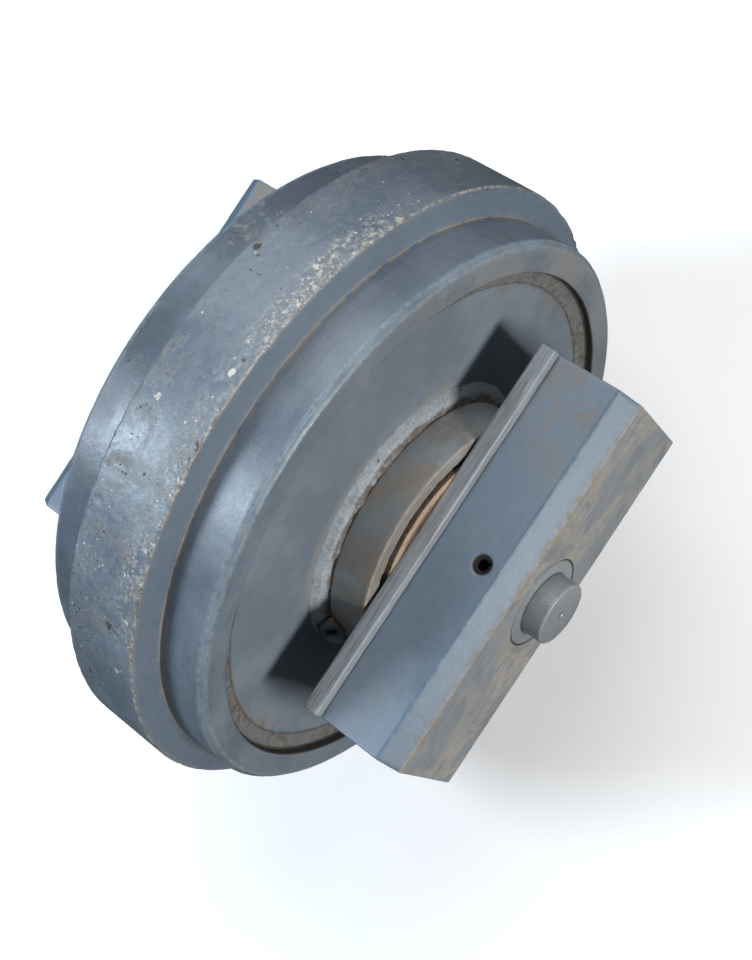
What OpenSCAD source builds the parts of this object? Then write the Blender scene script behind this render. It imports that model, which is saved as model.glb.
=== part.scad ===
// Front idler of an excavator track: a welded guide wheel that turns on a
// fixed shaft, carried by two slide brackets.
// Frame: origin at the wheel's centre, Y along the shaft, X fore and aft,
// Z up. The right side of the machine is -Y and the left side is +Y.

/* [Wheel] */
// Diameter of the two treads that the track links roll on
tread_d = 540; // [520:5:560]
// Height of the centre flange above the treads
flange_h = 26; // [16:1:34]
// Width of the centre flange at its top
flange_top_w = 74; // [60:2:84]
// Width across the whole rim
rim_w = 178; // [170:2:190]
// Thickness of the rim below the treads
rim_t = 28; // [22:1:34]
// Depth of each web disc below the rim's end face
web_recess = 11.5; // [8:0.5:16]
// Thickness of each web disc
web_t = 17.5; // [14:0.5:20]

/* [Hub] */
// Outer diameter of the hub
hub_d = 240; // [236:1:248]
// Length of the hub
hub_w = 250; // [246:1:254]
// Width of the fillet weld round the hub, along the web disc
hub_weld = 15; // [8:1:18]
// Width of the bevel weld between web disc and rim
rim_weld = 14; // [8:0.5:18]

/* [Shaft] */
// Diameter of the shaft
shaft_d = 84; // [80:1:86]
// Diameter of the stub at each end of the shaft
stub_d = 58; // [50:1:64]
// Length of each stub outside its bracket
stub_l = 19.5; // [15:0.5:26]

/* [Bearing and seals] */
// Wall thickness of each bush
bush_t = 5; // [4:0.5:5.5]
// Diameter of the pocket that holds each floating seal
seal_d = 168; // [166:1:172]

/* [Brackets] */
// Length of each bracket, fore and aft
bracket_l = 356; // [300:4:400]
// Thickness of each bracket's block, along the shaft
bracket_w = 78.5; // [74:0.5:90]
// Height of the block's top face above the shaft's axis
bracket_top = 78; // [74:1:86]
// Depth of the block's bottom face below the shaft's axis
bracket_bottom = 72; // [70:1:86]
// Width of the bevels along the block's outer edges
bracket_bevel = 17.5; // [6:0.5:20]
// Thickness of the guide plate on each bracket's wheel side
guide_t = 14.5; // [10:0.5:16]
// How far the guide plate stands above and below the block
guide_proud = 10; // [4:1:12]

/* [Pins] */
// Diameter of the slotted pins that lock the shaft
pin_d = 16; // [12:1:18]
// Length of each slotted pin
pin_l = 140; // [120:5:140]

/* [Hidden] */
$fn = 96;

// Joins between pieces
run_gap = 0.05;          // radial gap of a running or sliding fit
fit_up = 0.2;            // radial gap between two pieces before welding
seat_gap = 0.1;          // gap round a piece that sits loose in its seat
end_gap = 2.5;           // gap between the hub's end and the guide plate
edge = 2;                // plain machined edge bevel
eps = 0.01;              // overlap that makes cuts clean

// Wheel
tread_r = tread_d / 2;
flange_r = tread_r + flange_h;
flange_root_w = flange_top_w + 0.38 * flange_h;
rim_in_r = tread_r - rim_t;
rim_y = rim_w / 2;
web_y = rim_y - web_recess;
rim_weld_depth = 0.7 * web_t;
rim_weld_proud = 4.5;
hub_weld_rise = 0.6 * hub_weld;
hub_r = hub_d / 2;
hub_y = hub_w / 2;
flange_edge = 3;
rim_edge = 5;

// Shaft and bushes
shaft_r = shaft_d / 2;
stub_r = stub_d / 2;
centre_r = 2.2;          // turning centre drilled in each end
bush_r = shaft_r + bush_t;
bush_flange_r = bush_r + 13;
bush_flange_t = 5;
cavity_r = bush_r + 23;
cavity_y = 28;

// Floating seals, from the hub's end towards the middle
seal_r = seal_d / 2;
mouth_r = hub_r - 15;
mouth_y = hub_y - 19;
pocket_y = mouth_y - 14;
bush_seat_y = pocket_y + 4.3;
bush_end_y = bush_seat_y + bush_flange_t;
seal_face_y = mouth_y + 1.5;
seal_in_r = bush_flange_r + 6;
seal_body_r = seal_r - 10;
seal_lip_r = seal_r - 3;
seal_lip_t = 3.5;
seal_ring_w = 13;
toric_r = 5 - seat_gap;
toric_off = 9.2;

// Brackets
plate_y = hub_y + end_gap;
block_y = plate_y + guide_t;
face_y = block_y + bracket_w;
stub_y = face_y + stub_l;
housing_r = mouth_r - 5;
housing_y = mouth_y + 3;
housing_floor_y = plate_y - 5.5;
spigot_r = bush_flange_r - 2;
spigot_y = bush_end_y + 0.2;

// Shaft seals and pins
oring_y = block_y + 12;
oring_r = 1.6;
groove_w = 4;
groove_depth = 3.5;
pin_r = pin_d / 2;
pin_bore_r = 0.62 * pin_r;
pin_slot_w = 3;
pin_slot_dir = 54;        // from +X outwards, away from the wheel
pin_y = face_y - 33.5;
pin_top = bracket_top - 2;
pin_hole_edge = 1.2;

// Oil plug in the corner between hub and web disc
plug_dir = 160;          // place round the hub, from +X towards +Z
plug_tilt = 45;          // lean of the plug's axis from the shaft's axis
plug_seat_r = hub_r + 2.5;
plug_seat_y = web_y + 9;
plug_head_r = 11;
plug_head_t = 6;
plug_thread_r = 8;
plug_thread_l = 16;
plug_hex_r = 5.5;
washer_t = 2;
port_r = 5;
port_l = 86;

// Colours
paint = [0.36, 0.42, 0.48];
paint_light = [0.47, 0.54, 0.60];
weld_metal = [0.62, 0.65, 0.67];
bare_steel = [0.55, 0.56, 0.57];
bronze = [0.70, 0.52, 0.28];
iron = [0.30, 0.30, 0.31];
rubber = [0.08, 0.08, 0.08];

// Each side's pieces are drawn with Z along the shaft, away from the
// wheel's middle, and Y up. These two put them on their side.
module right_side() rotate([90, 0, 0]) children();
module left_side() rotate([0, 0, 180]) right_side() children();

// The same outline on both sides of the wheel's middle plane.
function both_sides(half) = concat(
    half,
    [for (i = [len(half) - 1 : -1 : 0]) [half[i][0], -half[i][1]]]
);

// Wheel

module tread_rim() {
    color(paint) right_side() rotate_extrude() polygon(both_sides([
        [rim_in_r, rim_y - edge],
        [rim_in_r + edge, rim_y],
        [tread_r - rim_edge, rim_y],
        [tread_r, rim_y - rim_edge]
    ]));
}

// Ring shrunk and welded on the middle of the tread rim.
module centre_flange() {
    color(paint) right_side() rotate_extrude() polygon(both_sides([
        [tread_r, flange_root_w / 2],
        [flange_r - flange_edge, flange_top_w / 2 + 1],
        [flange_r, flange_top_w / 2 - flange_edge]
    ]));
}

module web_disc(has_port) {
    color(paint) difference() {
        rotate_extrude() polygon([
            [hub_r + fit_up, web_y - web_t],
            [rim_in_r - fit_up, web_y - web_t],
            [rim_in_r - fit_up, web_y - rim_weld_depth],
            [rim_in_r - rim_weld, web_y],
            [hub_r + fit_up, web_y]
        ]);
        if (has_port) oil_port();
    }
}

module wheel_hub() {
    half = [
        [bush_r, cavity_y],
        [bush_r, bush_seat_y],
        [bush_flange_r + edge, bush_seat_y],
        [bush_flange_r + edge, pocket_y],
        [seal_r, pocket_y],
        [seal_r, mouth_y],
        [mouth_r, mouth_y],
        [mouth_r, hub_y - edge],
        [mouth_r + edge, hub_y],
        [hub_r - edge, hub_y],
        [hub_r, hub_y - edge]
    ];
    color(paint) right_side() difference() {
        rotate_extrude() polygon(concat([[cavity_r, cavity_y]], both_sides(half), [[cavity_r, -cavity_y]]));
        oil_port();
    }
}

// Fillet weld with a bulging face, in the corner of hub and web disc.
module hub_weld_bead(has_port) {
    bulge = 0.62;
    color(weld_metal) difference() {
        rotate_extrude() polygon([
            [hub_r, web_y],
            [hub_r + hub_weld, web_y],
            [hub_r + bulge * hub_weld, web_y + bulge * hub_weld_rise],
            [hub_r, web_y + hub_weld_rise]
        ]);
        if (has_port) oil_port();
    }
}

// Weld that fills the bevelled groove round the web disc and climbs a
// little up the rim's bore.
module rim_weld_bead() {
    color(weld_metal) rotate_extrude() polygon([
        [rim_in_r - rim_weld, web_y],
        [rim_in_r, web_y - rim_weld_depth],
        [rim_in_r, web_y + rim_weld_proud],
        [rim_in_r - 0.3 * rim_weld, web_y + 0.4 * rim_weld_proud]
    ]);
}

// Puts children on the oil plug's axis, with Z out of the hub.
module on_plug_axis() {
    rotate([0, 0, plug_dir])
        translate([plug_seat_r, 0, plug_seat_y])
            rotate([0, plug_tilt, 0]) children();
}

// Spot face, threaded hole and passage into the hub's oil space.
module oil_port() {
    on_plug_axis() {
        cylinder(h = 2 * plug_head_r, r = plug_head_r + 1.5);
        translate([0, 0, -plug_thread_l - 4])
            cylinder(h = plug_thread_l + 4 + eps, r = plug_thread_r + seat_gap);
        translate([0, 0, -port_l])
            cylinder(h = port_l, r = port_r);
    }
}

module oil_plug() {
    color(bare_steel) right_side() on_plug_axis() difference() {
        union() {
            translate([0, 0, washer_t])
                cylinder(h = plug_head_t - 1, r = plug_head_r);
            translate([0, 0, washer_t + plug_head_t - 1])
                cylinder(h = 1, r1 = plug_head_r, r2 = plug_head_r - 1);
            translate([0, 0, washer_t - plug_thread_l])
                cylinder(h = plug_thread_l, r = plug_thread_r);
        }
        translate([0, 0, washer_t - 1])
            cylinder(h = plug_head_t + 2, r = plug_hex_r, $fn = 6);
    }
}

module oil_plug_washer() {
    color(bronze) right_side() on_plug_axis() difference() {
        cylinder(h = washer_t, r = plug_head_r);
        translate([0, 0, -eps])
            cylinder(h = washer_t + 2 * eps, r = plug_thread_r + seat_gap);
    }
}

module bush() {
    color(bronze) rotate_extrude() polygon([
        [shaft_r + run_gap, cavity_y + 1],
        [shaft_r + run_gap + 1, cavity_y],
        [bush_r - 1, cavity_y],
        [bush_r, cavity_y + 1],
        [bush_r, bush_seat_y],
        [bush_flange_r, bush_seat_y],
        [bush_flange_r, bush_end_y - 1],
        [bush_flange_r - 1, bush_end_y],
        [shaft_r + run_gap + 1, bush_end_y],
        [shaft_r + run_gap, bush_end_y - 1]
    ]);
}

// Floating seals. dir is +1 for the fixed half and -1 for the turning
// half, and it leads away from the plane where the two halves meet.

module seal_ring(dir) {
    start = seal_face_y + dir * run_gap / 2;
    color(iron) rotate_extrude() polygon([
        [seal_in_r, start],
        [seal_lip_r, start],
        [seal_lip_r, start + dir * seal_lip_t],
        [seal_body_r, start + dir * (seal_lip_t + 1)],
        [seal_body_r, start + dir * (seal_ring_w - edge)],
        [seal_body_r - edge, start + dir * seal_ring_w],
        [seal_in_r, start + dir * seal_ring_w]
    ]);
}

module seal_toric(dir) {
    color(rubber) rotate_extrude()
        translate([(seal_body_r + seal_r) / 2, seal_face_y + dir * toric_off])
            circle(r = toric_r, $fn = 32);
}

// Shaft and what it carries

module idler_shaft() {
    color(bare_steel) right_side() difference() {
        rotate_extrude() polygon(both_sides([
            [0, stub_y - 4 * centre_r],
            [centre_r, stub_y - 3.5 * centre_r],
            [centre_r, stub_y - centre_r],
            [2 * centre_r, stub_y],
            [stub_r - edge, stub_y],
            [stub_r, stub_y - edge],
            [stub_r, face_y],
            [shaft_r - 1, face_y],
            [shaft_r, face_y - 1],
            [shaft_r, oring_y + groove_w],
            [shaft_r - groove_depth, oring_y + groove_w],
            [shaft_r - groove_depth, oring_y],
            [shaft_r, oring_y]
        ]));
        for (y = [-pin_y, pin_y])
            translate([0, shaft_r + 1, y]) rotate([90, 0, 0])
                cylinder(h = 2 * shaft_r + 2, r = pin_r + run_gap);
    }
}

module bracket() {
    color(paint_light) difference() {
        translate([-bracket_l / 2, 0, 0]) rotate([90, 0, 90])
            linear_extrude(height = bracket_l) polygon([
                [-bracket_bottom, block_y],
                [bracket_top, block_y],
                [bracket_top, face_y - bracket_bevel],
                [bracket_top - bracket_bevel, face_y],
                [bracket_bevel - bracket_bottom, face_y],
                [-bracket_bottom, face_y - bracket_bevel]
            ]);
        shaft_bore(block_y, face_y);
        pin_hole();
    }
}

module shaft_bore(from_y, to_y) {
    translate([0, 0, from_y - 1])
        cylinder(h = to_y - from_y + 2, r = shaft_r + run_gap);
}

// Upright hole for the lock pin, bevelled at both faces.
module pin_hole() {
    edge_r = pin_r + run_gap;
    translate([0, bracket_top + eps, pin_y]) rotate([90, 0, 0])
        cylinder(h = bracket_top + bracket_bottom + 2 * eps, r = edge_r);
    translate([0, bracket_top + eps, pin_y]) rotate([90, 0, 0])
        cylinder(h = pin_hole_edge, r1 = edge_r + pin_hole_edge, r2 = edge_r);
    translate([0, -bracket_bottom - eps, pin_y]) rotate([-90, 0, 0])
        cylinder(h = pin_hole_edge, r1 = edge_r + pin_hole_edge, r2 = edge_r);
}

module guide_plate() {
    top = bracket_top + guide_proud;
    bottom = -bracket_bottom - guide_proud;
    color(paint_light) difference() {
        translate([-bracket_l / 2, 0, 0]) rotate([90, 0, 90])
            linear_extrude(height = bracket_l) polygon([
                [bottom, plate_y],
                [top, plate_y],
                [top, block_y - edge],
                [top - edge, block_y],
                [bottom + edge, block_y],
                [bottom, block_y - edge]
            ]);
        shaft_bore(plate_y, block_y);
    }
}

module seal_housing() {
    color(paint) rotate_extrude() polygon([
        [shaft_r + run_gap, plate_y],
        [shaft_r + run_gap, spigot_y],
        [spigot_r - 1, spigot_y],
        [spigot_r, spigot_y + 1],
        [spigot_r, housing_floor_y],
        [seal_r, housing_floor_y],
        [seal_r, housing_y],
        [housing_r - edge, housing_y],
        [housing_r, housing_y + edge],
        [housing_r, plate_y]
    ]);
}

module shaft_oring() {
    color(rubber) rotate_extrude()
        translate([shaft_r - groove_depth / 2, oring_y + groove_w / 2])
            circle(r = oring_r, $fn = 32);
}

// Rolled spring pin with one open slot along its length.
module lock_pin() {
    taper = 1.5;
    color(bare_steel) translate([0, pin_top, pin_y]) rotate([90, 0, 0]) difference() {
        union() {
            cylinder(h = taper, r1 = pin_r - taper / 2, r2 = pin_r);
            translate([0, 0, taper])
                cylinder(h = pin_l - 2 * taper, r = pin_r);
            translate([0, 0, pin_l - taper])
                cylinder(h = taper, r1 = pin_r, r2 = pin_r - taper / 2);
        }
        translate([0, 0, -1])
            cylinder(h = pin_l + 2, r = pin_bore_r);
        rotate([0, 0, pin_slot_dir])
            translate([0, -pin_slot_w / 2, -1])
                cube([2 * pin_r, pin_slot_w, pin_l + 2]);
    }
}

tread_rim();
centre_flange();
right_side() web_disc(true);  // right_web_disc
left_side() web_disc(false);  // left_web_disc
wheel_hub();
right_side() hub_weld_bead(true);  // right_hub_weld
left_side() hub_weld_bead(false);  // left_hub_weld
right_side() rim_weld_bead();  // right_rim_weld
left_side() rim_weld_bead();  // left_rim_weld
oil_plug();
oil_plug_washer();
right_side() bush();  // right_bush
left_side() bush();  // left_bush
right_side() seal_ring(-1);  // right_turning_seal_ring
left_side() seal_ring(-1);  // left_turning_seal_ring
right_side() seal_toric(-1);  // right_turning_toric
left_side() seal_toric(-1);  // left_turning_toric
idler_shaft();
right_side() bracket();  // right_bracket
left_side() bracket();  // left_bracket
right_side() guide_plate();  // right_guide_plate
left_side() guide_plate();  // left_guide_plate
right_side() seal_housing();  // right_seal_housing
left_side() seal_housing();  // left_seal_housing
right_side() seal_ring(1);  // right_fixed_seal_ring
left_side() seal_ring(1);  // left_fixed_seal_ring
right_side() seal_toric(1);  // right_fixed_toric
left_side() seal_toric(1);  // left_fixed_toric
right_side() shaft_oring();  // right_shaft_oring
left_side() shaft_oring();  // left_shaft_oring
right_side() lock_pin();  // right_lock_pin
left_side() lock_pin();  // left_lock_pin
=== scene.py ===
import itertools
import math

import bpy
import numpy as np
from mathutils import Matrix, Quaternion, Vector


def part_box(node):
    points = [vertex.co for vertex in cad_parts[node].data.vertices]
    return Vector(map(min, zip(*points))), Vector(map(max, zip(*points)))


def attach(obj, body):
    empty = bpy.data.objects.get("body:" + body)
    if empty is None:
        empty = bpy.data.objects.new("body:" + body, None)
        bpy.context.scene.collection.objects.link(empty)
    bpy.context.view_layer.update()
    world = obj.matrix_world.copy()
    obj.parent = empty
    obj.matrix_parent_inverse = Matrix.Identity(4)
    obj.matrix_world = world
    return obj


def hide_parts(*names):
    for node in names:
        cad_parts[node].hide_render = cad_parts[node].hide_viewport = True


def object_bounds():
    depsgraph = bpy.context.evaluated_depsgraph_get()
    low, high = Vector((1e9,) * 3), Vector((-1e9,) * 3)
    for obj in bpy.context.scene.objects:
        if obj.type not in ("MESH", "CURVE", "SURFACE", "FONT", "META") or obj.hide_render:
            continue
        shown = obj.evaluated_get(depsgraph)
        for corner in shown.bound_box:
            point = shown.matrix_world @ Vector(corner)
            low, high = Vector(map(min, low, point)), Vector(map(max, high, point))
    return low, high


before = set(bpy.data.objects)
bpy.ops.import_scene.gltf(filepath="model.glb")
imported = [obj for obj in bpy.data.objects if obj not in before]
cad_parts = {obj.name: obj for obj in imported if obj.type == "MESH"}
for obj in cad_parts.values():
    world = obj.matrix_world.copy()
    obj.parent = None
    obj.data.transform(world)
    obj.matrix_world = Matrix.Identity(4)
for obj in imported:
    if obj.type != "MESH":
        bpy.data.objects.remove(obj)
cad_box = [list(corner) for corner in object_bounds()]

MM = 0.001

# Measures taken from the CAD nodes, in metres. Y is the shaft's axis.
TREAD_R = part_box("tread_rim")[1].x
RIM_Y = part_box("tread_rim")[1].y
FLANGE_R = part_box("centre_flange")[1].x
FLANGE_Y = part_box("centre_flange")[1].y
RIM_IN_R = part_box("right_rim_weld")[1].x
RIM_WELD_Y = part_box("left_rim_weld")[0].y
RIM_WELD_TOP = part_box("left_rim_weld")[1].y
WEB_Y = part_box("left_web_disc")[1].y
WEB_IN_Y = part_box("left_web_disc")[0].y
HUB_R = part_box("wheel_hub")[1].x
HUB_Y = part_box("wheel_hub")[1].y
HUB_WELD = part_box("left_hub_weld")[1].x - HUB_R
HUB_WELD_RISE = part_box("left_hub_weld")[1].y - WEB_Y
HOUSING_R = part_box("left_seal_housing")[1].x
PLATE_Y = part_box("left_guide_plate")[0].y
BLOCK_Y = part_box("left_bracket")[0].y
FACE_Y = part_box("left_bracket")[1].y
STUB_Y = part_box("idler_shaft")[1].y
SHAFT_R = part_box("idler_shaft")[1].z
SEAL_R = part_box("left_turning_seal_ring")[1].x + 3 * MM
BUSH_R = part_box("left_bush")[1].x

# Measures that no node's box gives
STUB_R = 29 * MM
BEVEL = 17.5 * MM
PIN_HOLE_R = 8.05 * MM
MOUTH_R = HOUSING_R + 5 * MM
RIM_WELD = 14 * MM
RIM_EDGE = 5 * MM


# ---------------------------------------------------------------- noise

def lattice(cells, seed):
    """A repeatable number from -1 to 1 for each cell of a 3-D lattice."""
    x, y, z = cells.T
    h = (x * 374761393 + y * 668265263 + z * 1440662683 + seed * 974634777) & 0xFFFFFFFF
    h = ((h ^ (h >> 13)) * 1274126177) & 0xFFFFFFFF
    return ((h ^ (h >> 16)) & 0xFFFF) / 32767.5 - 1


def noise(points, size, seed):
    """Smooth noise from -1 to 1 with lumps about size across, at n x 3 points."""
    scaled = points / size
    cells = np.floor(scaled).astype(np.int64)
    part = scaled - cells
    part = part * part * (3 - 2 * part)
    total = np.zeros(len(points))
    for corner in itertools.product((0, 1), repeat=3):
        weight = np.where(corner, part, 1 - part).prod(axis=1)
        total += weight * lattice(cells + corner, seed)
    return total


def rough(points, size, seed, octaves=3):
    """Noise with finer noise on top, still about -1 to 1."""
    layers = [noise(points, size / 2 ** k, seed + k) / 2 ** k for k in range(octaves)]
    return sum(layers) / (2 - 2 ** (1 - octaves))


def ramp(values, low, high):
    """0 below low, 1 above high and smooth between."""
    t = np.clip((values - low) / (high - low), 0, 1)
    return t * t * (3 - 2 * t)


# ---------------------------------------------------------------- mesh building

ARC_STEP = 0.7 * MM
HIDDEN_STEP = 12 * MM


def rounded_outline(corners, closed=True):
    """Points along an outline with rounded corners, as complex numbers.
    A corner is (x, y, radius, step), where step spaces the points of the edge after it."""
    places = [complex(c[0], c[1]) for c in corners]
    last = len(corners) - 1
    arcs = []
    for i, (_, _, radius, _) in enumerate(corners):
        here = places[i]
        if radius == 0 or (not closed and i in (0, last)):
            arcs.append([here])
            continue
        back = places[i - 1] - here
        ahead = places[(i + 1) % len(corners)] - here
        back /= abs(back)
        ahead /= abs(ahead)
        half = abs(np.angle(ahead / back)) / 2
        inward = (back + ahead) / abs(back + ahead)
        centre = here + inward * radius / math.sin(half)
        reach = radius / math.tan(half)
        start = here + back * reach - centre
        sweep = np.angle((here + ahead * reach - centre) / start)
        bends = max(2, round(abs(sweep) * radius / ARC_STEP))
        arcs.append([centre + start * np.exp(1j * sweep * k / bends) for k in range(bends + 1)])
    points = []
    for i, arc in enumerate(arcs):
        points += arc
        if not closed and i == last:
            break
        gap = arcs[(i + 1) % len(arcs)][0] - arc[-1]
        steps = max(1, round(abs(gap) / corners[i][3]))
        points += [arc[-1] + gap * k / steps for k in range(1, steps)]
    return np.array(points)


def outward(outline, closed=True):
    """Unit normals of an outline, as complex numbers, pointing out of the metal."""
    along = np.roll(outline, -1) - np.roll(outline, 1)
    if not closed:
        along[0] = outline[1] - outline[0]
        along[-1] = outline[-1] - outline[-2]
    area = (outline.conj() * np.roll(outline, -1)).imag.sum()
    return along / abs(along) * (-1j if area > 0 else 1j)


def both_sides(half, closing_step=HIDDEN_STEP):
    """The outline's corners for the +Y half, followed by the same mirrored."""
    steps = [c[3] for c in half]
    steps += steps[-2::-1] + [closing_step]
    places = [c[:3] for c in half] + [(r, -y, radius) for r, y, radius, _ in reversed(half)]
    return [(*place, step) for place, step in zip(places, steps)]


def make_object(name, points, faces, material):
    """A smooth-shaded object whose faces look outwards."""
    mesh = bpy.data.meshes.new(name)
    mesh.from_pydata(points, [], faces)
    mesh.calc_loop_triangles()
    corners = np.empty(len(mesh.loop_triangles) * 3, np.int32)
    mesh.loop_triangles.foreach_get("vertices", corners)
    a, b, c = (points[corners[k::3]] for k in range(3))
    if (a * np.cross(b, c)).sum() < 0:
        mesh.flip_normals()
    mesh.shade_smooth()
    mesh.materials.append(material)
    made = bpy.data.objects.new(name, mesh)
    bpy.context.scene.collection.objects.link(made)
    return made


def lathe(name, corners, around, material, closed=True):
    """A solid turned about the Y axis from the corners of its outline in (radius, y)."""
    outline = rounded_outline(corners, closed)
    turn = np.linspace(0, 2 * math.pi, around, endpoint=False)[:, None]
    size = len(outline)
    flat_y = np.broadcast_to(outline.imag, (around, size))
    points = np.stack([np.cos(turn) * outline.real, flat_y, np.sin(turn) * outline.real], 2)
    ring = np.arange(around)[:, None] * size
    after = (ring + size) % (around * size)
    step = np.arange(size if closed else size - 1)
    following = (step + 1) % size
    quads = np.stack([ring + step, ring + following, after + following, after + step], 2)
    faces = quads.reshape(-1, 4).tolist()
    if not closed:
        first = list(range(0, around * size, size))
        faces += [first, [k + size - 1 for k in reversed(first)]]
    return make_object(name, points.reshape(-1, 3), faces, material)


def bar(name, corners, length, end_round, material, step):
    """A bar along X whose outline in (y, z) is convex, with rounded edges and ends."""
    outline = rounded_outline(corners)
    out = outward(outline)
    middle = outline.mean()
    half = length / 2
    inner = outline - out * end_round - middle
    end = [(-half, middle + inner * scale) for scale in np.linspace(0.06, 0.96, 16)]
    for turn in np.linspace(0, math.pi / 2, 5):
        inset = end_round * (1 - math.sin(turn))
        end.append((end_round * (1 - math.cos(turn)) - half, outline - out * inset))
    steps = round((length - 2 * end_round) / step)
    between = np.linspace(end_round - half, half - end_round, steps + 1)[1:-1]
    rings = end + [(x, outline) for x in between] + [(-x, flat) for x, flat in reversed(end)]
    size = len(outline)
    points = np.concatenate([np.stack([np.full(size, x), flat.real, flat.imag], 1) for x, flat in rings])
    ring = np.arange(len(rings) - 1)[:, None] * size
    along = np.arange(size)
    following = (along + 1) % size
    quads = np.stack([ring + along, ring + following, ring + size + following, ring + size + along], 2)
    last = (len(rings) - 1) * size
    faces = quads.reshape(-1, 4).tolist()
    faces += [list(range(size))[::-1], [last + k for k in range(size)]]
    return make_object(name, points, faces, material)


def cut(piece, cutters):
    """Takes the cutters out of the piece."""
    for cutter in cutters:
        hole = piece.modifiers.new("hole", "BOOLEAN")
        hole.operation = "DIFFERENCE"
        hole.solver = "EXACT"
        hole.object = cutter
    graph = bpy.context.evaluated_depsgraph_get()
    mesh = bpy.data.meshes.new_from_object(piece.evaluated_get(graph))
    piece.modifiers.clear()
    piece.data = mesh


def surface(piece):
    """The points of a piece and their normals, each as an n x 3 array."""
    mesh = piece.data
    points = np.empty(len(mesh.vertices) * 3)
    normals = np.empty(len(mesh.vertices) * 3)
    mesh.vertices.foreach_get("co", points)
    mesh.vertex_normals.foreach_get("vector", normals)
    return points.reshape(-1, 3), normals.reshape(-1, 3)


def move_points(piece, points):
    piece.data.vertices.foreach_set("co", points.ravel())
    piece.data.update()


def weather(piece, height, marks):
    """Moves the points of a piece out by height and keeps the marks, which its material reads."""
    mesh = piece.data
    points, normals = surface(piece)
    move_points(piece, points + normals * height[:, None])
    for name, values in marks.items():
        layer = mesh.attributes.new(name, "FLOAT", "POINT")
        layer.data.foreach_set("value", np.asarray(values, np.float32))
    mesh.shade_smooth()


def polar(points):
    """Radius from the Y axis, and angle round it in degrees from +X towards +Z."""
    x, _, z = points.T
    return np.hypot(x, z), np.degrees(np.arctan2(z, x))


def edge_marks(points, corners, wear=2.5 * MM, grime_and_shade=5 * MM):
    """How near points of a turned piece are to edges that stick out and to hollow ones."""
    radius, _ = polar(points)
    flat = radius + 1j * points[:, 1]
    places = np.array([complex(c[0], c[1]) for c in corners])
    turns = np.angle((np.roll(places, -1) - places) / (places - np.roll(places, 1)))
    turns *= np.sign(turns.sum())
    marks = {}
    for name, chosen, reach in (("wear", turns > 0.1, wear), ("grime_and_shade", turns < -0.1, grime_and_shade)):
        far = np.full(len(points), 1.0)
        for place in places[chosen]:
            far = np.minimum(far, abs(flat - place))
        marks[name] = np.exp(-far / reach)
    return marks


def nicks(points, marks, depth, size, seed):
    """Bites out of the edges that stick out."""
    return -depth * ramp(rough(points, size, seed), 0.05, 0.5) * marks["wear"]


def place(piece, body, slot, *nodes):
    """The piece rides on a body and stands for CAD nodes, which it hides; slot is not used."""
    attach(piece, body)
    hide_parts(*nodes)
    return piece


# ---------------------------------------------------------------- materials

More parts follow.
